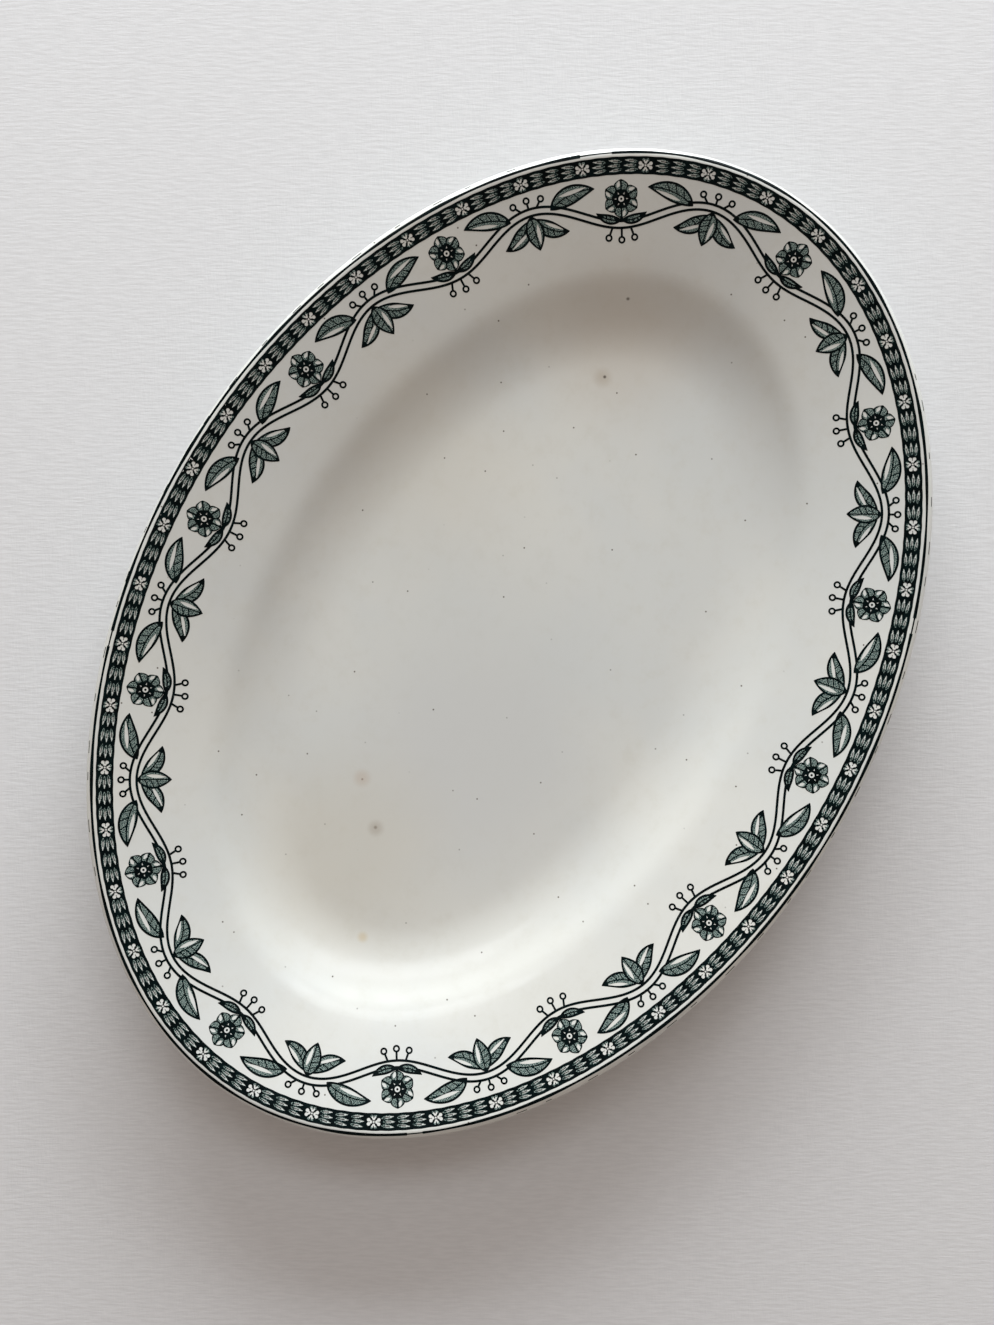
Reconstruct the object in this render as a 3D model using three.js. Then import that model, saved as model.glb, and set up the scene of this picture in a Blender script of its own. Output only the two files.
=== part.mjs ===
// Oval serving platter of printed and glazed earthenware. Millimetres, +Z up.
// It stands on its foot ring at z = 0, centred on the origin, with its long axis along X.
//
// The body is shaped as on an oval chuck: one section is carried round an oval, so that the rim,
// the well and the foot ring keep their spacing on the long and the short axis alike. The layers
// lie on each other in the order of their firing: the body, the print on its rim, the glaze.

import * as THREE from "three";
import { mergeVertices } from "three/addons/utils/BufferGeometryUtils.js";

// Outside of the finished platter
const LENGTH = 360;
const WIDTH = 256;
const HEIGHT = 33;

// Rim: the flat marly and its full round lip
const MARLY_WIDTH = 41;
const MARLY_SLOPE_DEG = 19;
const LIP_THICKNESS = 4.4;

// Well: its edge below the marly, and the hollow cavetto that runs down to the flat floor
const WELL_EDGE_RADIUS = 6;
const CAVETTO_SLOPE_DEG = 34;
const CAVETTO_RADIUS = 42;
const WALL = 5.8;
const BACK_EDGE_RADIUS = 9;

// Foot ring, which starts where the belly has flattened to the foot slope, and the base inside it
const FOOT_SLOPE_DEG = 22;
const FOOT_WIDTH = 6;
const FOOT_FILLET_RADIUS = 2.5;
const FOOT_EDGE_RADIUS = 1.2;
const BASE_RECESS = 2.8;
const BASE_FILLET_RADIUS = 1.2;

// Layers on the body. The printed line and leaf band are measured in from the body's edge
const GLAZE = 0.3;
const PRINT = 0.1;
const EDGE_LINE_INSET = 1.2;
const EDGE_LINE_WIDTH = 0.8;
const LINE_TO_BAND = 1.2;
const BAND_WIDTH = 5.5;

// Facets: how many go round the oval, and how far one may cut inside a round of the section
const SEGMENTS = 56;
const CHORD_ERROR = 0.12;
const SAME_PLACE = 1e-6;

// The glaze is clear, so that the cream body and the print show through it
const BISCUIT_FINISH = { color: 0xddd8cc, roughness: 0.9, metalness: 0 };
const PRINT_FINISH = { color: 0x1b3a40, roughness: 0.5, metalness: 0 };
const GLAZE_FINISH = { color: 0xe9e8e1, roughness: 0.1, metalness: 0, transparent: true, opacity: 0.3 };

// The shorter half axis is the turning radius, and the chuck's throw adds the rest of the longer one
const TURN_RADIUS = Math.min(LENGTH, WIDTH) / 2;
const THROW_X = LENGTH / 2 - TURN_RADIUS;
const THROW_Y = WIDTH / 2 - TURN_RADIUS;

// Directions that a surface can face in the section, as angles from the outward radius
const UP = Math.PI / 2;
const DOWN = -UP;
const OUT = 0;
const IN = -Math.PI;

const { cos, sin, tan, asin, acos, atan2, hypot, min } = Math;
const { degToRad, lerp, euclideanModulo } = THREE.MathUtils;

// A point of the section that lies a distance from another place in the direction that it faces
function moved({ r, z }, distance, facing) {
  return { r: r + distance * cos(facing), z: z + distance * sin(facing), facing };
}

// A round stretch between two facings. A negative radius makes it hollow
function arc(centre, radius, fromFacing, toFacing) {
  const largestStep = 2 * acos(1 - CHORD_ERROR / Math.abs(radius));
  const steps = Math.ceil(Math.abs(toFacing - fromFacing) / largestStep);
  return Array.from({ length: steps + 1 }, (_, step) =>
    moved(centre, radius, lerp(fromFacing, toFacing, step / steps)));
}

// Stretches set end to end, without the points that repeat where they meet
function joined(...stretches) {
  return stretches.flat().filter((point, k, all) =>
    k === 0 || hypot(point.r - all[k - 1].r, point.z - all[k - 1].z) > SAME_PLACE);
}

// A path that runs in towards the axis, cut into stretches at falling radii
function cutAtRadii(path, radii) {
  const stretches = [[path[0]]];
  for (let k = 1; k < path.length; k++) {
    const [from, to] = [path[k - 1], path[k]];
    for (const r of radii.filter((radius) => radius < from.r && radius >= to.r)) {
      const share = (from.r - r) / (from.r - to.r);
      const cut = { r, z: lerp(from.z, to.z, share), facing: lerp(from.facing, to.facing, share) };
      stretches.at(-1).push(cut);
      stretches.push([cut]);
    }
    stretches.at(-1).push(to);
  }
  return stretches;
}

// Where two lines meet, each given by a facing and by its distance from the origin that way
function meeting(facingA, distanceA, facingB, distanceB) {
  const spread = sin(facingB - facingA);
  return {
    r: (distanceA * sin(facingB) - distanceB * sin(facingA)) / spread,
    z: (distanceB * cos(facingA) - distanceA * cos(facingB)) / spread,
  };
}

function reach({ r, z }, facing) {
  return r * cos(facing) + z * sin(facing);
}

// Section of the body, worked out from the lip down to the foot
function bodySection() {
  const marlySlope = degToRad(MARLY_SLOPE_DEG);
  const wallSlope = degToRad(CAVETTO_SLOPE_DEG);
  const footSlope = degToRad(FOOT_SLOPE_DEG);
  const floorZ = BASE_RECESS + WALL;

  const lipRadius = LIP_THICKNESS / 2;
  const lip = { r: TURN_RADIUS - GLAZE - lipRadius, z: HEIGHT - GLAZE - lipRadius };

  // The marly is the straight line that touches both the lip and the round edge of the well
  const wellEdge = { r: TURN_RADIUS - MARLY_WIDTH + WELL_EDGE_RADIUS * sin(marlySlope) };
  wellEdge.z = lip.z
    - (lip.r - wellEdge.r) * tan(marlySlope)
    - (WELL_EDGE_RADIUS - lipRadius) / cos(marlySlope);

  // Its underside starts a wall's thickness below the well's edge and tapers to touch the lip
  const underEdge = moved(wellEdge, WELL_EDGE_RADIUS - WALL, UP + marlySlope);
  const toLip = { r: lip.r - underEdge.r, z: lip.z - underEdge.z };
  const underSlope = atan2(toLip.z, toLip.r) - asin(lipRadius / hypot(toLip.r, toLip.z));

  // The back of the wall runs parallel to its front, and a hollow round joins it to the underside
  const wallBack = moved(wellEdge, WELL_EDGE_RADIUS - WALL, UP + wallSlope);
  const backEdge = meeting(
    DOWN + underSlope, reach(underEdge, DOWN + underSlope) + BACK_EDGE_RADIUS,
    DOWN + wallSlope, reach(wallBack, DOWN + wallSlope) + BACK_EDGE_RADIUS);
  const backEdgeEnd = moved(backEdge, -BACK_EDGE_RADIUS, DOWN + wallSlope);

  // The cavetto's round is no larger than the height of the wall behind it leaves room for
  const cavettoRoom = (backEdgeEnd.z + WALL * cos(wallSlope) - floorZ) / (1 - cos(wallSlope));
  const cavettoRadius = min(CAVETTO_RADIUS, cavettoRoom);
  const cavetto = { z: floorZ + cavettoRadius };
  cavetto.r = wellEdge.r
    - (cavettoRadius + WELL_EDGE_RADIUS + (wellEdge.z - cavetto.z) * cos(wallSlope)) / sin(wallSlope);

  // The belly is the back of the cavetto, and the foot's fillet rests against it
  const bellyRadius = cavettoRadius + WALL;
  const footFillet = moved(cavetto, bellyRadius + FOOT_FILLET_RADIUS, DOWN + footSlope);
  const footOuter = footFillet.r - FOOT_FILLET_RADIUS;
  const footInner = footOuter - FOOT_WIDTH;
  const footEdge = min(FOOT_EDGE_RADIUS, footFillet.z / 2, BASE_RECESS / 2);
  const baseFillet = min(BASE_FILLET_RADIUS, BASE_RECESS - footEdge);

  const footInside = arc({ r: footInner + footEdge, z: footEdge }, footEdge, IN, DOWN);
  const footOutside = arc({ r: footOuter - footEdge, z: footEdge }, footEdge, DOWN, OUT);
  return {
    base: joined(
      [{ r: 0, z: BASE_RECESS, facing: DOWN }],
      arc({ r: footInner - baseFillet, z: BASE_RECESS - baseFillet }, -baseFillet, DOWN, IN),
      [footInside.at(0)]),
    foot: joined(footInside, footOutside),
    back: joined(
      [footOutside.at(-1)],
      arc(footFillet, -FOOT_FILLET_RADIUS, OUT, DOWN + footSlope),
      arc(cavetto, bellyRadius, DOWN + footSlope, DOWN + wallSlope),
      arc(backEdge, -BACK_EDGE_RADIUS, DOWN + wallSlope, DOWN + underSlope),
      arc(lip, lipRadius, DOWN + underSlope, OUT)),
    front: joined(
      arc(lip, lipRadius, OUT, UP),
      arc(lip, lipRadius, UP, UP + marlySlope),
      arc(wellEdge, WELL_EDGE_RADIUS, UP + marlySlope, UP + wallSlope),
      arc(cavetto, -cavettoRadius, UP + wallSlope, UP),
      [{ r: 0, z: floorZ, facing: UP }]),
  };
}

// Cosine of a segment's angle, the same to the last bit on both sides of the axis
function evenCosine(segment) {
  const turn = euclideanModulo(segment, SEGMENTS);
  return cos(2 * Math.PI * min(turn, SEGMENTS - turn) / SEGMENTS);
}

// Two triangles that fill a quad, split along its shorter diagonal whichever way round it is given,
// so that two layers share the same facets where they meet
function quadTriangles(points, a, b, c, d) {
  if (points[a].distanceToSquared(points[c]) < points[b].distanceToSquared(points[d])) {
    return [a, b, c, a, c, d];
  }
  return [a, b, d, b, c, d];
}

// Carries a closed loop of section points round the oval. A stretch along the axis has no surface
function ovalTurn(loop) {
  const points = [];
  for (let segment = 0; segment < SEGMENTS; segment++) {
    const alongX = evenCosine(segment);
    const alongY = evenCosine(segment - SEGMENTS / 4);
    for (const { r, z } of loop) {
      points.push(new THREE.Vector3((r + THROW_X) * alongX, (r + THROW_Y) * alongY, z));
    }
  }
  const triangles = [];
  for (let segment = 0; segment < SEGMENTS; segment++) {
    const ring = segment * loop.length;
    const nextRing = (segment + 1) % SEGMENTS * loop.length;
    loop.forEach((point, j) => {
      const k = (j + 1) % loop.length;
      if (point.r > SAME_PLACE || loop[k].r > SAME_PLACE) {
        triangles.push(...quadTriangles(points, ring + j, nextRing + j, nextRing + k, ring + k));
      }
    });
  }
  const turned = new THREE.BufferGeometry().setFromPoints(points);
  turned.setIndex(triangles);
  return withoutCollapsed(mergeVertices(turned));
}

// On a round platter the oval's axis shrinks to a point, and the triangles along it go
function withoutCollapsed(geometry) {
  const corners = Array.from(geometry.getIndex().array);
  const kept = [];
  for (let k = 0; k < corners.length; k += 3) {
    const triangle = corners.slice(k, k + 3);
    if (new Set(triangle).size === 3) {
      kept.push(...triangle);
    }
  }
  return geometry.setIndex(kept);
}

function lifted(path, thickness) {
  return path.map((point) => moved(point, thickness, point.facing));
}

// A layer of the given thickness on a path of the body, over whatever already lies there
function layerLoop(path, thickness, under = path) {
  return [...lifted(path, thickness), ...under.toReversed()];
}

function piece(name, loop, finish) {
  const mesh = new THREE.Mesh(ovalTurn(loop), new THREE.MeshStandardMaterial(finish));
  mesh.name = name;
  return mesh;
}

function platter() {
  const { base, foot, back, front } = bodySection();

  const bodyEdge = TURN_RADIUS - GLAZE;
  const lineOuter = bodyEdge - EDGE_LINE_INSET;
  const lineInner = lineOuter - EDGE_LINE_WIDTH;
  const bandOuter = lineInner - LINE_TO_BAND;
  const bandInner = bandOuter - BAND_WIDTH;
  const stretches = cutAtRadii(front, [lineOuter, lineInner, bandOuter, bandInner]);
  const [, edgeLine, , leafBand] = stretches;

  // The glaze fills in round the print, and runs level over it
  const printed = [edgeLine, leafBand];
  const glazed = joined(back, ...stretches);
  const underGlaze = joined(back, ...stretches.map((stretch) =>
    printed.includes(stretch) ? lifted(stretch, PRINT) : stretch));

  const group = new THREE.Group();
  group.name = "oval_platter";
  group.add(
    piece("biscuit_body", joined(base, foot, glazed), BISCUIT_FINISH),
    piece("printed_edge_line", layerLoop(edgeLine, PRINT), PRINT_FINISH),
    piece("printed_leaf_band", layerLoop(leafBand, PRINT), PRINT_FINISH),
    piece("glaze_coat", layerLoop(glazed, GLAZE, underGlaze), GLAZE_FINISH),
    piece("base_glaze", layerLoop(base, GLAZE), GLAZE_FINISH));
  return group;
}

export default platter();
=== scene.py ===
"""Looks of the oval serving platter: smooth body, glaze and printed rim, on a pale cloth by a window."""

import math

import bmesh
import bpy
import numpy as np
from mathutils import Matrix, Vector
from mathutils.geometry import delaunay_2d_cdt
from mathutils.kdtree import KDTree


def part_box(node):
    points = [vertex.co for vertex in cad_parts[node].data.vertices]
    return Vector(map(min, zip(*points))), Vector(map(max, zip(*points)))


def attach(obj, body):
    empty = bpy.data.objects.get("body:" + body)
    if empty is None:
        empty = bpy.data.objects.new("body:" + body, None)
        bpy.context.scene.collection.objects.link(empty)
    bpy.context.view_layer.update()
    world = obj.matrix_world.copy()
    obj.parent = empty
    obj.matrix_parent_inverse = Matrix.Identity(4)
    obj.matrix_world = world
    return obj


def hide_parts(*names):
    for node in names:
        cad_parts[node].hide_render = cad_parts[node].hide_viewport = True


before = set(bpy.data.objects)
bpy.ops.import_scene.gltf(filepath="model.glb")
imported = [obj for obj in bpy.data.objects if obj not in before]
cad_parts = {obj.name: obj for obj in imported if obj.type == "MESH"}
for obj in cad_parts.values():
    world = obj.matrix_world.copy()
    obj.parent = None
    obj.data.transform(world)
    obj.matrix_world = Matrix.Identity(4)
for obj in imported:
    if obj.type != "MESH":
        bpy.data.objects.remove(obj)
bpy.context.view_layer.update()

# Lengths are in millimetres up to the meshes, which are in metres
MM = 0.001

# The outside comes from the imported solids. The rest of the section is theirs too,
# but for a softer well edge
glaze_low, glaze_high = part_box("glaze_coat")
LENGTH = (glaze_high.x - glaze_low.x) / MM
WIDTH = (glaze_high.y - glaze_low.y) / MM
HEIGHT = glaze_high.z / MM
MARLY_WIDTH = 41.0
MARLY_SLOPE = math.radians(19)
LIP_RADIUS = 2.2
WELL_EDGE_RADIUS = 6.0
SOFT_EDGE_RADIUS = 28.0
WALL_SLOPE = math.radians(34)
CAVETTO_RADIUS = 42.0
WALL = 5.8
BACK_EDGE_RADIUS = 9.0
FOOT_SLOPE = math.radians(22)
FOOT_WIDTH = 6.0
FOOT_FILLET_RADIUS = 2.5
FOOT_EDGE_RADIUS = 1.2
BASE_RECESS = 2.8
BASE_FILLET_RADIUS = 1.2
GLAZE = 0.3

# The oval: a turning radius, and the throw that makes it longer along X
TURN_RADIUS = WIDTH / 2
THROW = (LENGTH - WIDTH) / 2

# Printed rim, measured in from the edge of the finished platter
EDGE_LINE_INSET = 1.9
EDGE_LINE_WIDTH = 0.95
EDGE_LINE_PIECES = 180
WORN_PIECES = (11, 12, 57, 101, 149)
WORN_SHARE = 0.45
EDGE_LINE_SPAN = (0.4, 2.4)
TRACE_INSET = 0.8
TRACE_HALF = 0.11
BAND_INSET = 3.3
BAND_WIDTH = 5.6
BAND_UNITS = 44
PRINT_DRIFT = 0.35
PRINT_SHIFT = 0.2
FRIEZE_INSET = 20.0
FRIEZE_SPAN = (10.0, 31.0)
FRIEZE_REPEATS = 14
STEM_SWAY = 4.5
STEM_GAP = 1.1
LINE_HALF = 0.42
OUTLINE = 0.75
GLINT_FROM_WIDTH = 4.0
VEIN_HALF = 0.18
RIB_HALF = 0.22
STALK_HALF = 0.5
BERRY_RADIUS = 1.25
BERRY_EYE = 0.6
BERRY_STALK_HALF = 0.36
BLOSSOM_INSET = 16.4
BLOSSOM_RADIUS = 6.2

# Fineness of the meshes
SEGMENTS = 320
ARC_STEP = math.radians(4)
LONGEST_STEP = 4.0
FILM = 0.04
FILM_GRID = 2.5
FILM_CLEARANCE = 0.8
SHARP_ANGLE = math.radians(40)
SAME_PLACE = 1e-6

# Stains in the glaze of the front, and over the well painted shade and a painted reflection of the room:
# plan place, inner and outer radius in millimetres, share and colour
STAINS_AND_PAINTED_LIGHT = (
    # Cool grey clouds over the well: a painted reflection of the room above, and painted shade that keeps
    # the well darker than the rim
    (-5, 4, 8, 62, 0.45, (196, 199, 197)),
    (-42, -12, 12, 58, 0.80, (201, 202, 199)),
    # Broad warm tints near the lower end, the upper end and one side of the well
    (-92, 14, 8, 50, 0.42, (200, 194, 178)),
    (112, 22, 4, 42, 0.40, (200, 187, 168)),
    (40, 60, 6, 55, 0.30, (206, 198, 180)),
    # Small spots, most with darker cores, and dark specks
    (97, 19.5, 0.6, 4.5, 0.40, (172, 158, 138)),
    (97.6, 19.0, 0.2, 0.8, 0.85, (70, 62, 54)),
    (-66, 20.3, 0.8, 4.2, 0.40, (186, 168, 150)),
    (-66.3, 20.0, 0.1, 0.6, 0.60, (112, 84, 66)),
    (-78.7, 7.2, 0.8, 3.8, 0.45, (166, 156, 142)),
    (-78.5, 7.4, 0.2, 0.9, 0.60, (118, 106, 92)),
    (-114, -8.4, 0.4, 2.6, 0.40, (196, 172, 120)),
    (124, 25.8, 0.2, 0.9, 0.80, (84, 78, 68)),
)

# The picture, in metres: how the platter lies in it, with image up and right as plan directions,
# and the camera
IMAGE_TURN = math.radians(30.75)
IMAGE_UP = Vector((math.cos(IMAGE_TURN), math.sin(IMAGE_TURN), 0.0))
IMAGE_RIGHT = Vector((IMAGE_UP.y, -IMAGE_UP.x, 0.0))
CAMERA_DISTANCE = 0.70
CAMERA_TILT = math.radians(-2)
FRAME_HEIGHT = 0.4478
TARGET_LEFT = 0.0039
TARGET_DOWN = 0.0050
TARGET = Vector((0.0, 0.0, HEIGHT * MM)) - IMAGE_RIGHT * TARGET_LEFT - IMAGE_UP * TARGET_DOWN

# Light from above the top of the picture and from the room, with the distance in metres
LIGHT_SIDE = math.radians(3.5)
LIGHT_DISTANCE = 2.2
LIGHT_TINT = (0.94, 1.0, 1.05)
ROOM_TINT = (1.0, 0.85, 0.76, 1.0)
FLOOR_REACH = 4.0

# Tones of the print
BARE = 0
STIPPLE = 1
INK = 2

# Directions that a surface can face in the section
UP = math.pi / 2
DOWN = -UP
OUT = 0.0
IN = -math.pi


# Section of the body

def towards(facing):
    return np.array([math.cos(facing), math.sin(facing)])


def moved(point, distance, facing):
    return np.asarray(point) + distance * towards(facing)


def arc(centre, radius, start, end):
    """A round stretch between two facings, as rows of radius, height and facing.

    A negative radius is hollow.
    """
    steps = math.ceil(abs(end - start) / ARC_STEP)
    return [(*moved(centre, radius, facing), facing) for facing in np.linspace(start, end, steps + 1)]


def meeting(facing_a, distance_a, facing_b, distance_b):
    """Where two lines meet, each given by a facing and its distance from the origin that way."""
    return np.linalg.solve([towards(facing_a), towards(facing_b)], [distance_a, distance_b])


def joined(*stretches):
    """Stretches set end to end, with the long straight runs cut into steps."""
    rows = [np.array(row) for stretch in stretches for row in stretch]
    path = [rows[0]]
    for row in rows[1:]:
        run = np.hypot(*(row - path[-1])[:2])
        if run > SAME_PLACE:
            steps = math.ceil(run / LONGEST_STEP)
            start = path[-1]
            path.extend(start + (row - start) * step / steps for step in range(1, steps + 1))
    return np.array(path)


def body_section():
    floor = BASE_RECESS + WALL
    lip = np.array([TURN_RADIUS - GLAZE - LIP_RADIUS, HEIGHT - GLAZE - LIP_RADIUS])
    edge_r = TURN_RADIUS - MARLY_WIDTH + WELL_EDGE_RADIUS * math.sin(MARLY_SLOPE)
    edge_drop = (lip[0] - edge_r) * math.tan(MARLY_SLOPE)
    edge_drop += (WELL_EDGE_RADIUS - LIP_RADIUS) / math.cos(MARLY_SLOPE)
    well_edge = np.array([edge_r, lip[1] - edge_drop])

    softer = (SOFT_EDGE_RADIUS - WELL_EDGE_RADIUS) / math.cos((WALL_SLOPE - MARLY_SLOPE) / 2)
    soft_edge = moved(well_edge, -softer, UP + (MARLY_SLOPE + WALL_SLOPE) / 2)

    under_edge = moved(well_edge, WELL_EDGE_RADIUS - WALL, UP + MARLY_SLOPE)
    to_lip = lip - under_edge
    under_slope = math.atan2(to_lip[1], to_lip[0]) - math.asin(LIP_RADIUS / np.hypot(*to_lip))
    wall_back = moved(well_edge, WELL_EDGE_RADIUS - WALL, UP + WALL_SLOPE)
    under_facing = DOWN + under_slope
    wall_facing = DOWN + WALL_SLOPE
    back_edge = meeting(
        under_facing, under_edge @ towards(under_facing) + BACK_EDGE_RADIUS,
        wall_facing, wall_back @ towards(wall_facing) + BACK_EDGE_RADIUS)

    cavetto_z = floor + CAVETTO_RADIUS
    rise = (well_edge[1] - cavetto_z) * math.cos(WALL_SLOPE)
    cavetto_r = well_edge[0] - (CAVETTO_RADIUS + WELL_EDGE_RADIUS + rise) / math.sin(WALL_SLOPE)
    cavetto = np.array([cavetto_r, cavetto_z])
    belly_radius = CAVETTO_RADIUS + WALL
    foot_fillet = moved(cavetto, belly_radius + FOOT_FILLET_RADIUS, DOWN + FOOT_SLOPE)
    foot_outer = foot_fillet[0] - FOOT_FILLET_RADIUS
    foot_inner = foot_outer - FOOT_WIDTH

    foot_inside = arc((foot_inner + FOOT_EDGE_RADIUS, FOOT_EDGE_RADIUS), FOOT_EDGE_RADIUS, IN, DOWN)
    foot_outside = arc((foot_outer - FOOT_EDGE_RADIUS, FOOT_EDGE_RADIUS), FOOT_EDGE_RADIUS, DOWN, OUT)
    base_corner = (foot_inner - BASE_FILLET_RADIUS, BASE_RECESS - BASE_FILLET_RADIUS)
    return {
        "base": joined(
            [(0, BASE_RECESS, DOWN)], arc(base_corner, -BASE_FILLET_RADIUS, DOWN, IN), foot_inside[:1]),
        "foot": joined(foot_inside, foot_outside),
        "back": joined(
            foot_outside[-1:],
            arc(foot_fillet, -FOOT_FILLET_RADIUS, OUT, DOWN + FOOT_SLOPE),
            arc(cavetto, belly_radius, DOWN + FOOT_SLOPE, wall_facing),
            arc(back_edge, -BACK_EDGE_RADIUS, wall_facing, under_facing),
            arc(lip, LIP_RADIUS, under_facing, OUT)),
        "front": joined(
            arc(lip, LIP_RADIUS, OUT, UP + MARLY_SLOPE),
            arc(soft_edge, SOFT_EDGE_RADIUS, UP + MARLY_SLOPE, UP + WALL_SLOPE),
            arc(cavetto, -CAVETTO_RADIUS, UP + WALL_SLOPE, UP),
            [(0, floor, UP)]),
    }


def lifted(path, distance):
    raised = path.copy()
    raised[:, 0] += distance * np.cos(path[:, 2])
    raised[:, 1] += distance * np.sin(path[:, 2])
    return raised


def layer(path, thickness):
    """Loop of a coat that lies on a path of the section."""
    return np.concatenate([lifted(path, thickness), path[::-1]])


# Meshes

def new_piece(name, points, faces):
    mesh = bpy.data.meshes.new(name)
    mesh.from_pydata(np.asarray(points) * MM, [], faces)
    piece = bpy.data.objects.new(name, mesh)
    bpy.context.scene.collection.objects.link(piece)
    return piece


def tidy_mesh(mesh):
    """Welds the points along the oval's axis, turns the faces outward and shades them smooth."""
    shape = bmesh.new()
    shape.from_mesh(mesh)
    bmesh.ops.remove_doubles(shape, verts=shape.verts, dist=SAME_PLACE)
    bmesh.ops.dissolve_degenerate(shape, edges=shape.edges, dist=SAME_PLACE)
    bmesh.ops.recalc_face_normals(shape, faces=shape.faces)
    shape.to_mesh(mesh)
    shape.free()
    mesh.shade_smooth()
    mesh.set_sharp_from_angle(angle=SHARP_ANGLE)


def turned(name, loop):
    """Carries a closed loop of section points round the oval. A stretch along the axis has no surface."""
    angles = np.arange(SEGMENTS) * 2 * math.pi / SEGMENTS
    radius = np.clip(loop[:, 0], 0, None)
    across = np.outer(np.cos(angles), radius + THROW)
    along = np.outer(np.sin(angles), radius)
    height = np.broadcast_to(loop[:, 1], across.shape)
    points = np.stack([across, along, height], axis=-1).reshape(-1, 3)
    count = len(loop)
    faces = []
    for segment in range(SEGMENTS):
        ring = segment * count
        next_ring = (segment + 1) % SEGMENTS * count
        for j in range(count):
            k = (j + 1) % count
            if radius[j] > SAME_PLACE or radius[k] > SAME_PLACE:
                faces.append((ring + j, next_ring + j, next_ring + k, ring + k))
    piece = new_piece(name, points, faces)
    tidy_mesh(piece.data)
    return piece


def turning_radius(points):
    """Radius in the section of each plan point, found by halving."""
    x, y = points[:, 0], points[:, 1]
    low = np.full(len(points), SAME_PLACE)
    high = np.full(len(points), TURN_RADIUS + 1)
    for _ in range(50):
        middle = (low + high) / 2
        outside = (x / (middle + THROW)) ** 2 + (y / middle) ** 2 > 1
        low = np.where(outside, middle, low)
        high = np.where(outside, high, middle)
    return (low + high) / 2


def on_front(points):
    """The glazed front above plan points: places and outward normals."""
    radius = turning_radius(points)
    rows = glazed_front[::-1]
    height = np.interp(radius, rows[:, 0], rows[:, 1])
    facing = np.interp(radius, rows[:, 0], rows[:, 2])
    x, y = points[:, 0], points[:, 1]
    slope_x = x / (radius + THROW) ** 2
    slope_y = y / radius ** 2
    fall = x ** 2 / (radius + THROW) ** 3 + y ** 2 / radius ** 3
    normals = np.stack([
        np.cos(facing) * slope_x / fall, np.cos(facing) * slope_y / fall, np.sin(facing)], axis=-1)
    normals /= np.linalg.norm(normals, axis=1, keepdims=True)
    return np.column_stack([points, height]), normals


# Flat shapes of the print

def rim_point(angle, inset):
    """Plan points at an inset from the edge, square to it."""
    edge = np.stack([(TURN_RADIUS + THROW) * np.cos(angle), TURN_RADIUS * np.sin(angle)], axis=-1)
    inward = -np.stack([TURN_RADIUS * np.cos(angle), (TURN_RADIUS + THROW) * np.sin(angle)], axis=-1)
    inward /= np.linalg.norm(inward, axis=-1, keepdims=True)
    return edge + inward * np.asarray(inset)[..., None]


def strip(middle):
    """Measures the line at an inset. Returns its length and a map from places along and in to the plan."""
    angles = np.linspace(0, 2 * math.pi, 4001)
    line = rim_point(angles, np.full(angles.shape, middle))
    run = np.concatenate([[0], np.cumsum(np.linalg.norm(np.diff(line, axis=0), axis=1))])

    def place(along, inset):
        along, inset = np.broadcast_arrays(np.asarray(along, float), np.asarray(inset, float))
        return rim_point(np.interp(np.mod(along, run[-1]), run, angles), inset)

    return run[-1], place


def sideways(directions):
    sides = np.stack([-directions[..., 1], directions[..., 0]], axis=-1)
    return sides / np.linalg.norm(sides, axis=-1, keepdims=True)


def ribbon(line, sides, left, right):
    """Outline of a stretch between two distances to the sides of a line."""
    left = np.broadcast_to(left, len(line))[:, None]
    right = np.broadcast_to(right, len(line))[:, None]
    return np.concatenate([line + sides * left, (line + sides * right)[::-1]])


def stroke(line, half):
    line = np.asarray(line)
    return ribbon(line, sideways(np.gradient(line, axis=0)), half, -half)


def disc(centre, radius, points=16):
    angles = np.arange(points) * 2 * math.pi / points
    return centre + radius * np.stack([np.cos(angles), np.sin(angles)], axis=-1)


def blade(base, tip, width, bow=0.0, fullest=0.45, steps=18):
    """Middle line, sides and half widths of a leaf or petal. The bow is a share of its length."""
    share = np.linspace(0, 1, steps + 1)
    length = np.linalg.norm(tip - base)
    side = sideways(tip - base)
    rise = 4 * bow * length * share * (1 - share)
    line = base + np.outer(share, tip - base) + np.outer(rise, side)
    half = width / 2 * np.sin(math.pi * share ** (math.log(0.5) / math.log(fullest))) ** 0.8
    return line, sideways(np.gradient(line, axis=0)), np.maximum(half, 0.1)


def half_blade(line, sides, half, edge, rib, direction):
    """One half of a blade, inside its outline and beside its midrib, or nothing where it is too thin."""
    inner = half - edge
    wide = inner > rib + 0.12
    return ribbon(line[wide], sides[wide], direction * inner[wide], direction * rib)


def glint(line, sides, half, steps, width):
    """A bare lens on one half of a blade, between two steps of its middle line."""
    ends = [line[step] + sides[step] * half[step] / 2 for step in steps]
    middle, across, spread = blade(*ends, width, steps=8)
    return ribbon(middle, across, spread, -spread), BARE


def leaf(base, tip, width, bow=0.0):
    """A toned leaf with an outline, a midrib and veins on one half. A wide one has a glint on the other."""
    line, sides, half = blade(base, tip, width, bow)
    shapes = [(ribbon(line, sides, half, -half), INK)]
    for direction in (1, -1):
        shapes.append((half_blade(line, sides, half, OUTLINE, RIB_HALF, direction), STIPPLE))
    if width > GLINT_FROM_WIDTH:
        shapes.append(glint(line, sides, half, (5, 15), 0.2 * width))
    for k in range(4, len(line) - 6, 3):
        vein = [line[k], line[k + 2] - sides[k + 2] * half[k + 2] * 0.9]
        shapes.append((stroke(np.linspace(*vein, 4), VEIN_HALF), INK))
    return shapes


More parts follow.
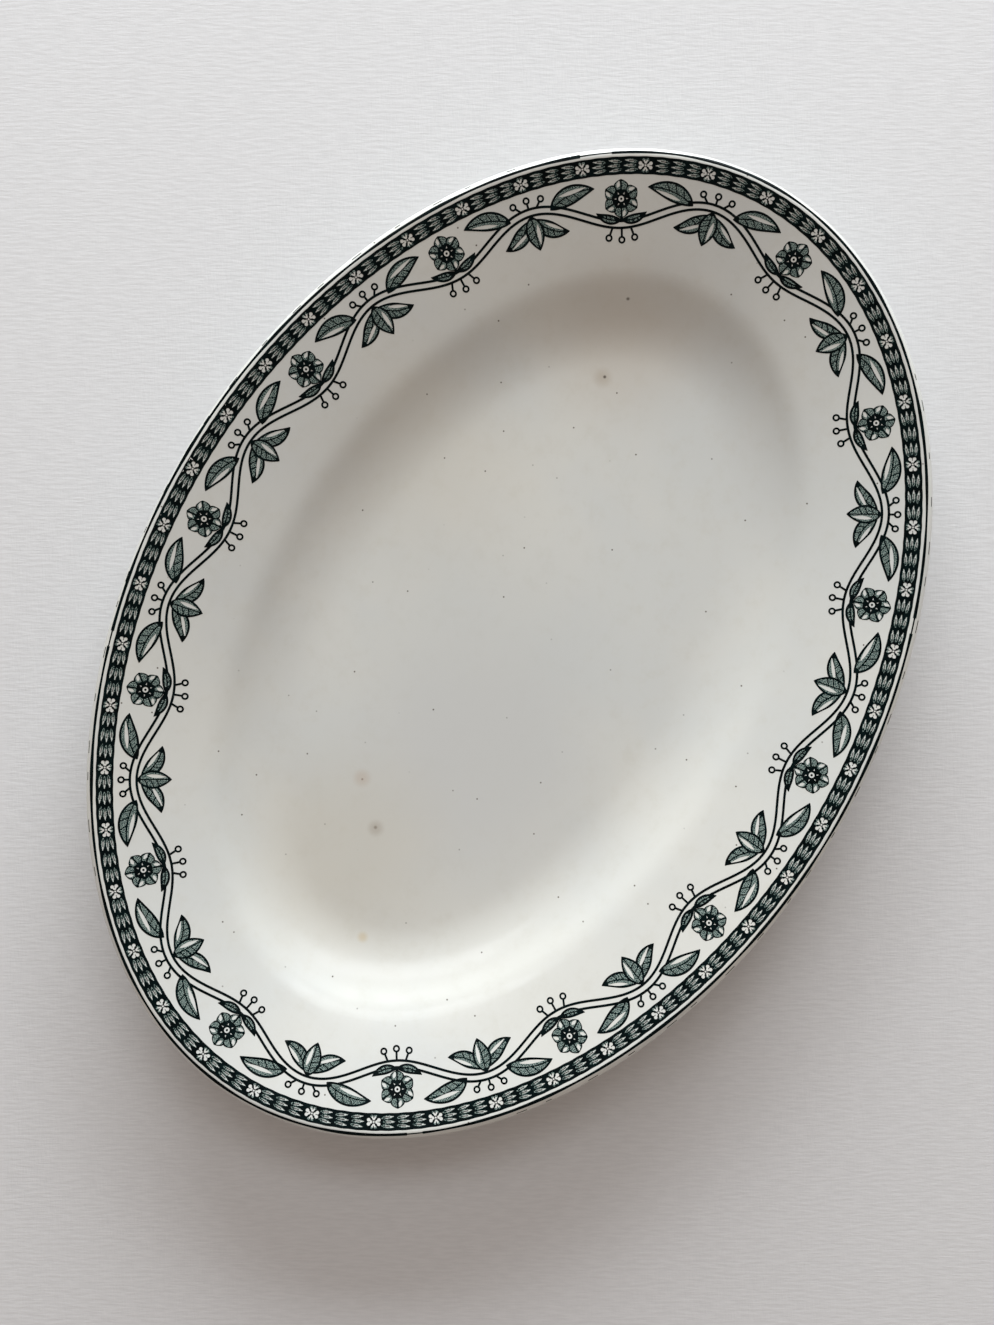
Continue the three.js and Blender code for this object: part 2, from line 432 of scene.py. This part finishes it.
def petal(base, tip, width):
    """A petal that is dark at its base, toned further out, with a glint near its tip."""
    line, sides, half = blade(base, tip, width, fullest=0.6)
    shapes = [(ribbon(line, sides, half, -half), INK)]
    outer = slice(7, None)
    for direction in (1, -1):
        lobe = half_blade(line[outer], sides[outer], half[outer], 0.5, 0.28, direction)
        shapes.append((lobe, STIPPLE))
    shapes.append(glint(line, sides, half, (9, 16), 0.22 * width))
    return shapes


def blossom(centre, heading, radius, petals=6):
    shapes = []
    for k in range(petals):
        angle = heading + k * 2 * math.pi / petals
        ray = np.array([math.cos(angle), math.sin(angle)])
        shapes += petal(centre + 0.9 * ray, centre + radius * ray, 0.8 * radius)
    shapes.append((disc(centre, 1.7), INK))
    shapes.append((disc(centre, 0.95), BARE))
    shapes.append((disc(centre, 0.4, 10), INK))
    return shapes


def berry(stem_end, centre):
    return [
        (stroke(np.linspace(stem_end, centre, 5), BERRY_STALK_HALF), INK),
        (disc(centre, BERRY_RADIUS), INK),
        (disc(centre, BERRY_EYE, 12), BARE),
    ]


def wavy_stem(place, start, pitch):
    """Two lines that follow the wave for one repeat."""
    def wave(along):
        return place(along, FRIEZE_INSET - STEM_SWAY * np.sin(2 * math.pi * (along - start) / pitch))

    along = np.linspace(start, start + pitch, 61)
    sides = sideways(wave(along + 0.1) - wave(along - 0.1))
    line = wave(along)
    gaps = (-STEM_GAP, STEM_GAP)
    return [(ribbon(line, sides, gap + LINE_HALF, gap - LINE_HALF), INK) for gap in gaps]


def outer_bay(place, middle, trough):
    """What fills the bay on the outer side of the wave: a blossom on its stalk, and leaves beside it."""
    centre = place(middle, BLOSSOM_INSET)
    heading = np.subtract(*place([middle, middle], [16.0, 17.0]))
    stalk = place(np.full(6, middle), np.linspace(trough - 0.8, 20.5, 6))
    shapes = [(stroke(stalk, STALK_HALF), INK)]
    for side in (-1, 1):
        shapes += leaf(place(middle, 23.0), place(middle + side * 8.6, 20.4), 3.2, side * 0.1)
        base = place(middle + side * 23.5, 16.6)
        shapes += leaf(base, place(middle + side * 8.4, 12.6), 6.2, side * 0.1)
        shapes += berry(place(middle + side * 3.2, trough + 0.7), place(middle + side * 4.8, 28.6))
    shapes += berry(place(middle, trough + 1.1), place(middle, 29.4))
    shapes += blossom(centre, math.atan2(heading[1], heading[0]), BLOSSOM_RADIUS)
    return shapes


def inner_bay(place, middle, crest):
    """What fills the bay on the inner side: a spray of three leaves, with berries beyond the stem."""
    shapes = []
    for side in (-1, 1):
        base = place(middle + side, crest + 2.4)
        shapes += leaf(base, place(middle + side * 11.8, 24.4), 5.4, side * 0.12)
        shapes += berry(place(middle + side * 2.5, crest - 0.8), place(middle + side * 4.6, 12.2))
    shapes += leaf(place(middle, crest + 1.2), place(middle, 28.0), 6.4)
    shapes += berry(place(middle, crest - 1.1), place(middle, 11.6))
    return shapes


def frieze_shapes():
    length, place = strip(FRIEZE_INSET)
    pitch = length / FRIEZE_REPEATS
    shapes = []
    for k in range(FRIEZE_REPEATS):
        shapes += wavy_stem(place, k * pitch, pitch)
        shapes += inner_bay(place, (k + 0.25) * pitch, FRIEZE_INSET - STEM_SWAY)
        shapes += outer_bay(place, (k + 0.75) * pitch, FRIEZE_INSET + STEM_SWAY)
    return shapes


def drift(along, length):
    """The transfer lies nearer to the edge at the ends and sides, and a little off centre."""
    turn = 2 * math.pi * np.asarray(along) / length
    return -PRINT_DRIFT * np.cos(4 * turn) - PRINT_SHIFT * np.sin(turn)


def small_leaf(base, tip, width):
    """A slender leaf of the band: toned, with two light streaks beside a dark vein."""
    line, sides, half = blade(base, tip, width, steps=10)
    light = 0.54 * half[3:]
    return [
        (ribbon(line, sides, half, -half), STIPPLE),
        (ribbon(line[3:], sides[3:], light, -light), BARE),
        (stroke(line[1:8], 0.14), INK),
    ]


def band_flower(centre, forward):
    """Two heart-shaped light petals along the band, two toned ones across it and a dot in the middle."""
    across = sideways(forward)
    shapes = []
    for way in (-1, 1):
        for side in (-1, 1):
            lobe = centre + way * 1.75 * forward + side * 0.66 * across
            shapes.append((disc(lobe, 0.6, 12), BARE))
            shapes.append((stroke(np.linspace(centre + way * 0.6 * forward, lobe, 4), 0.3), BARE))
            wing = centre + way * 1.7 * across + side * 0.6 * forward
            shapes.append((disc(wing, 0.52, 12), STIPPLE))
            shapes.append((stroke(np.linspace(centre + way * 0.6 * across, wing, 4), 0.25), BARE))
    shapes.append((disc(centre, 0.34, 10), BARE))
    return shapes


def band_shapes():
    """A dark ground with light flowers and, between them, three rows of leaves that run along it."""
    half_width = BAND_WIDTH / 2
    length, ring = strip(BAND_INSET + half_width)
    pitch = length / BAND_UNITS
    leaf_pitch = (pitch - 5.2) / 3

    def place(along, outward):
        return ring(along, BAND_INSET + half_width + drift(along, length) - np.asarray(outward))

    shapes = []
    for k in range(BAND_UNITS):
        along = np.linspace(k * pitch, (k + 1) * pitch, 33)
        ripple = 0.05 * np.cos(2 * math.pi * (along - k * pitch) * 4 / pitch)
        outline = [place(along, half_width - ripple), place(along, ripple - half_width)[::-1]]
        shapes.append((np.concatenate(outline), INK))
    for k in range(BAND_UNITS):
        middle = k * pitch + 2.6
        forward = np.subtract(place(middle + 0.5, 0), place(middle - 0.5, 0))
        shapes += band_flower(place(middle, 0), forward / np.linalg.norm(forward))
        for j in range(3):
            foot = k * pitch + 5.0 + j * leaf_pitch
            for row in (-1.65, 0, 1.65):
                start = foot + (0.2 if row else 0.6)
                tip = place(start + 0.8 * leaf_pitch, 1.04 * row)
                shapes += small_leaf(place(start, 0.7 * row), tip, 1.2)
    return shapes


def edge_line_shapes():
    """The thin line on the lip, uneven and worn thin in places. Two strips let it follow the round lip."""
    length, place = strip(EDGE_LINE_INSET)
    shapes = []
    for k in range(EDGE_LINE_PIECES):
        along = np.linspace(k, k + 1, 5) * length / EDGE_LINE_PIECES
        turn = 2 * math.pi * along / length
        half = EDGE_LINE_WIDTH / 2 * (1 + 0.16 * np.sin(17 * turn) + 0.12 * np.sin(41 * turn + 1))
        if k in WORN_PIECES:
            half *= WORN_SHARE
        middle = EDGE_LINE_INSET + drift(along, length)
        for side in (-1, 1):
            outline = [place(along, middle - side * half), place(along, middle + side * 0.1)[::-1]]
            shapes.append((np.concatenate(outline), INK))
        if k * 37 % 11 < 4 and abs(math.sin(turn[0])) > 0.5:
            shapes.append((worn_trace(place, along, k), INK))
    return shapes


def worn_trace(place, along, k):
    """A short hair of ink outside the line. Its length and place vary from one to the next."""
    stretch = along[0] + (along[-1] - along[0]) * np.linspace(0.1, 0.5 + 0.1 * (k % 5), 5)
    inset = TRACE_INSET + 0.12 * math.sin(5 * k)
    return np.concatenate([place(stretch, inset - TRACE_HALF), place(stretch, inset + TRACE_HALF)[::-1]])


# Print as thin films on the glaze

def holds(outline, points):
    """Which points lie inside a closed outline.

    From those a line to the right crosses it an odd number of times.
    """
    x, y = points[:, :1], points[:, 1:]
    from_x, from_y = outline.T
    to_x, to_y = np.roll(outline, -1, axis=0).T
    crossed = (from_y > y) != (to_y > y)
    rise = np.where(to_y == from_y, 1, to_y - from_y)
    crossing = from_x + (y - from_y) * (to_x - from_x) / rise
    return np.sum(crossed & (x < crossing), axis=1) % 2 == 1


def tones_at(points, shapes):
    """The tone at each point, which the last shape that holds it gives."""
    tones = np.full(len(points), BARE)
    for outline, tone in shapes:
        inside = (points > outline.min(axis=0)) & (points < outline.max(axis=0))
        near = np.flatnonzero(inside.all(axis=1))
        tones[near[holds(outline, points[near])]] = tone
    return tones


def inner_points(outlines, first, last):
    """Points on a grid along the rim that lie clear of the outlines, so that a film follows the surface."""
    length, place = strip((first + last) / 2)
    along = np.arange(0, length, FILM_GRID)
    inset = np.arange(first, last, FILM_GRID)
    grid = place(*np.meshgrid(along, inset)).reshape(-1, 2)
    near = KDTree(len(outlines))
    for k, point in enumerate(outlines):
        near.insert((*point, 0), k)
    near.balance()
    return [point for point in grid if near.find((*point, 0))[2] > FILM_CLEARANCE]


def inlaid(shapes, first, last):
    """Fills the shapes with triangles, sorted by tone."""
    shapes = [(outline, tone) for outline, tone in shapes if len(outline) > 2]
    ends = np.cumsum([0] + [len(outline) for outline, _ in shapes])
    edges = []
    for start, end in zip(ends[:-1], ends[1:]):
        edges += [(k, k + 1) for k in range(start, end - 1)] + [(end - 1, start)]
    points = list(np.concatenate([outline for outline, _ in shapes]))
    points += inner_points(points, first, last)
    points = [Vector(point) for point in points]
    corners, _, triangles, *_ = delaunay_2d_cdt(points, edges, [], 0, 1e-4, False)
    corners = np.array([tuple(corner) for corner in corners])
    triangles = np.array(triangles)
    tones = tones_at(corners[triangles].mean(axis=1), shapes)
    return corners, {tone: triangles[tones == tone] for tone in (STIPPLE, INK)}


def film(name, corners, triangles):
    """A closed film over flat triangles, half of it sunk into the glaze."""
    used, order = np.unique(triangles, return_inverse=True)
    flat = order.reshape(-1, 3)
    places, normals = on_front(corners[used])
    count = len(used)
    points = np.concatenate([places + normals * FILM, places - normals * FILM])
    faces = [tuple(face) for face in flat] + [tuple(face[::-1] + count) for face in flat]
    edges = {(face[k], face[(k + 1) % 3]) for face in flat for k in range(3)}
    faces += [(b, a, a + count, b + count) for a, b in edges if (b, a) not in edges]
    piece = new_piece(name, points, faces)
    piece.data.shade_smooth()
    piece.data.set_sharp_from_angle(angle=SHARP_ANGLE)
    return piece


# Materials

def new_material(name):
    material = bpy.data.materials.new(name)
    material.use_nodes = True
    tree = material.node_tree
    return material, tree, tree.nodes["Principled BSDF"]


def add(tree, kind, inputs=None, **settings):
    node = tree.nodes.new(kind)
    for key, value in settings.items():
        setattr(node, key, value)
    for key, value in (inputs or {}).items():
        if isinstance(value, bpy.types.NodeSocket):
            tree.links.new(value, node.inputs[key])
        else:
            node.inputs[key].default_value = value
    return node


def object_place(tree):
    return add(tree, "ShaderNodeTexCoord").outputs["Object"]


def noise(tree, place, scale, detail=3.0, roughness=0.55):
    inputs = {"Vector": place, "Scale": scale, "Detail": detail, "Roughness": roughness}
    return add(tree, "ShaderNodeTexNoise", inputs).outputs["Fac"]


def ranged(tree, value, start, end, low=0.0, high=1.0):
    inputs = {"Value": value, "From Min": start, "From Max": end, "To Min": low, "To Max": high}
    return add(tree, "ShaderNodeMapRange", inputs, interpolation_type="SMOOTHSTEP").outputs["Result"]


def times(tree, first, second):
    return add(tree, "ShaderNodeMath", {0: first, 1: second}, operation="MULTIPLY").outputs[0]


def mixed(tree, share, first, second):
    inputs = {0: share, 6: first, 7: second}
    return add(tree, "ShaderNodeMix", inputs, data_type="RGBA").outputs[2]


def colour(red, green, blue):
    """A colour as it is seen on screen, 0 to 255, as the shaders take it."""
    def linear(value):
        share = value / 255
        return share / 12.92 if share <= 0.04045 else ((share + 0.055) / 1.055) ** 2.4

    return (linear(red), linear(green), linear(blue), 1.0)


def spot(tree, place, x, y, inner, outer):
    """1 near a place on the front, given in plan in millimetres, falling to 0 at its outer radius."""
    places, _ = on_front(np.array([[x, y]]))
    inputs = {0: place, 1: tuple(places[0] * MM)}
    distance = add(tree, "ShaderNodeVectorMath", inputs, operation="DISTANCE").outputs["Value"]
    return ranged(tree, distance, outer * MM, inner * MM)


def bumped(tree, shader, height, distance, strength=1.0):
    inputs = {"Height": height, "Distance": distance * MM, "Strength": strength}
    bump = add(tree, "ShaderNodeBump", inputs)
    tree.links.new(bump.outputs["Normal"], shader.inputs["Normal"])


def glossy(tree, shader, place, least, most):
    """Roughness that varies a little from place to place."""
    roughness = ranged(tree, noise(tree, place, 60), 0.3, 0.7, least, most)
    tree.links.new(roughness, shader.inputs["Roughness"])


def glaze_material():
    material, tree, shader = new_material("cream_glaze")
    place = object_place(tree)
    clouds = ranged(tree, noise(tree, place, 14), 0.35, 0.7)
    tint = mixed(tree, clouds, colour(214, 214, 207), colour(208, 210, 206))
    mottle = ranged(tree, noise(tree, place, 150, 6, 0.7), 0.45, 0.75, 0.0, 0.22)
    tint = mixed(tree, mottle, tint, colour(196, 193, 180))
    # Tint the glaze with the stains, and over the well with painted shade and a painted reflection
    for x, y, inner, outer, share, stain_and_painted_light in STAINS_AND_PAINTED_LIGHT:
        reach = times(tree, spot(tree, place, x, y, inner, outer), share)
        tint = mixed(tree, reach, tint, colour(*stain_and_painted_light))
    tint = mixed(tree, specks(tree, place), tint, colour(92, 86, 76))
    tree.links.new(tint, shader.inputs["Base Color"])
    glossy(tree, shader, place, 0.14, 0.24)
    bumped(tree, shader, noise(tree, place, 30, 2), 0.2, 0.3)
    return material


def specks(tree, place):
    """Scattered dark specks of iron in the glaze, in some of the cells of a fine grid."""
    cells = add(tree, "ShaderNodeTexVoronoi", {"Vector": place, "Scale": 62.0}, voronoi_dimensions="2D")
    chosen = add(tree, "ShaderNodeSeparateColor", {"Color": cells.outputs["Color"]}).outputs["Red"]
    dot = ranged(tree, cells.outputs["Distance"], 0.024, 0.010)
    return times(tree, dot, ranged(tree, chosen, 0.45, 0.85))


def ink_material():
    material, tree, shader = new_material("printed_ink")
    place = object_place(tree)
    strength = ranged(tree, noise(tree, place, 260, 4), 0.35, 0.8)
    tint = mixed(tree, strength, colour(2, 9, 10), colour(6, 22, 23))
    tree.links.new(tint, shader.inputs["Base Color"])
    glossy(tree, shader, place, 0.16, 0.26)
    shader.inputs["Specular IOR Level"].default_value = 0.06
    return material


def stipple_material():
    """Light dots on an ink ground, as the engraved tone of the print."""
    material, tree, shader = new_material("stippled_tone")
    place = object_place(tree)
    inputs = {"Vector": place, "Scale": 3000.0}
    dots = add(tree, "ShaderNodeTexVoronoi", inputs, voronoi_dimensions="2D").outputs["Distance"]
    tint = mixed(tree, ranged(tree, dots, 0.2, 0.5), colour(158, 174, 166), colour(14, 42, 43))
    tree.links.new(tint, shader.inputs["Base Color"])
    glossy(tree, shader, place, 0.16, 0.26)
    shader.inputs["Specular IOR Level"].default_value = 0.12
    return material


def biscuit_material():
    material, tree, shader = new_material("bare_biscuit")
    place = object_place(tree)
    tint = mixed(tree, noise(tree, place, 90, 6), colour(214, 198, 172), colour(170, 148, 120))
    tree.links.new(tint, shader.inputs["Base Color"])
    shader.inputs["Roughness"].default_value = 0.85
    bumped(tree, shader, noise(tree, place, 900, 4), 0.15)
    return material


def cloth_material():
    """Pale linen, with threads that run across the picture and finer ones up it."""
    material, tree, shader = new_material("pale_cloth")
    place = object_place(tree)
    across = threads(tree, place, 150, 1000)
    upward = threads(tree, place, 1000, 200)
    weave = mixed(tree, 0.3, across, upward)
    tint = mixed(tree, ranged(tree, across, 0.3, 0.7), colour(216, 216, 216), colour(222, 222, 222))
    tree.links.new(tint, shader.inputs["Base Color"])
    shader.inputs["Roughness"].default_value = 0.9
    shader.inputs["Specular IOR Level"].default_value = 0.2
    bumped(tree, shader, weave, 0.3, 0.35)
    return material


def threads(tree, place, across, up):
    """Noise that is drawn out along the picture's width or height, by how fine it is each way."""
    inputs = {"Vector": place, "Rotation": (0, 0, IMAGE_TURN - UP), "Scale": (1 / across, 1 / up, 1)}
    drawn = add(tree, "ShaderNodeMapping", inputs, vector_type="TEXTURE").outputs["Vector"]
    return noise(tree, drawn, 1.0, 2.0)


# Pieces of the platter

def dress(piece, material, slot, *nodes):
    piece.data.materials.append(material)
    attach(piece, "root")
    if nodes:
        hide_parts(*nodes)


section = body_section()
glazed = np.concatenate([section["back"], section["front"][1:]])
glazed_front = lifted(section["front"], GLAZE)
whole_body = np.concatenate([section["base"], section["foot"][1:], glazed[1:]])

glaze_finish = glaze_material()
ink_finish = ink_material()
tone_finish = stipple_material()
dress(turned("biscuit", whole_body), biscuit_material(), "biscuit", "biscuit_body")
dress(turned("glaze", layer(glazed, GLAZE)), glaze_finish, "glaze", "glaze_coat")
dress(turned("base_coat", layer(section["base"], GLAZE)), glaze_finish, "glaze", "base_glaze")

corners, fills = inlaid(edge_line_shapes(), *EDGE_LINE_SPAN)
dress(film("edge_line", corners, fills[INK]), ink_finish, "print", "printed_edge_line")
corners, fills = inlaid(band_shapes(), BAND_INSET, BAND_INSET + BAND_WIDTH)
dress(film("leaf_band", corners, fills[INK]), ink_finish, "print", "printed_leaf_band")
dress(film("leaf_band_tone", corners, fills[STIPPLE]), tone_finish, "print")
corners, fills = inlaid(frieze_shapes(), *FRIEZE_SPAN)
dress(film("frieze_lines", corners, fills[INK]), ink_finish, "print")
dress(film("frieze_tone", corners, fills[STIPPLE]), tone_finish, "print")

# Studio: floor, light and camera

def make_floor():
    reach = FLOOR_REACH
    corners = [(-reach, -reach, 0), (reach, -reach, 0), (reach, reach, 0), (-reach, reach, 0)]
    mesh = bpy.data.meshes.new("floor")
    mesh.from_pydata(corners, [], [(0, 1, 2, 3)])
    floor = bpy.data.objects.new("floor", mesh)
    bpy.context.scene.collection.objects.link(floor)
    mesh.materials.append(cloth_material())


def make_panel(name, rise, width, height, power):
    """A soft panel of light above the top of the picture, at a rise in degrees."""
    lamp = bpy.data.lights.new(name, "AREA")
    lamp.shape = "RECTANGLE"
    lamp.size = width
    lamp.size_y = height
    lamp.energy = power
    lamp.color = LIGHT_TINT
    flat = IMAGE_UP * math.cos(LIGHT_SIDE) + IMAGE_RIGHT * math.sin(LIGHT_SIDE)
    turn = math.radians(rise)
    direction = flat * math.cos(turn) + Vector((0, 0, math.sin(turn)))
    panel = bpy.data.objects.new(name, lamp)
    panel.location = direction * LIGHT_DISTANCE
    panel.rotation_euler = (-direction).to_track_quat("-Z", "Y").to_euler()
    bpy.context.scene.collection.objects.link(panel)


def make_world(strength):
    world = bpy.data.worlds.new("room")
    world.use_nodes = True
    background = world.node_tree.nodes["Background"]
    background.inputs["Color"].default_value = ROOM_TINT
    background.inputs["Strength"].default_value = strength
    bpy.context.scene.world = world


def make_camera():
    lens = bpy.data.cameras.new("camera")
    lens.lens = lens.sensor_width * CAMERA_DISTANCE / FRAME_HEIGHT
    camera = bpy.data.objects.new("camera", lens)
    view = IMAGE_UP * math.sin(CAMERA_TILT) - Vector((0, 0, 1)) * math.cos(CAMERA_TILT)
    top = IMAGE_UP * math.cos(CAMERA_TILT) + Vector((0, 0, 1)) * math.sin(CAMERA_TILT)
    turn = Matrix((IMAGE_RIGHT, top, -view)).transposed().to_4x4()
    camera.matrix_world = Matrix.Translation(TARGET - view * CAMERA_DISTANCE) @ turn
    bpy.context.scene.collection.objects.link(camera)
    bpy.context.scene.camera = camera


make_floor()
make_panel("window", rise=17, width=2.0, height=1.0, power=84.5)
make_panel("sky", rise=58, width=2.0, height=0.6, power=9.4)
make_world(strength=0.35)
make_camera()
bpy.context.scene.view_settings.view_transform = "Standard"
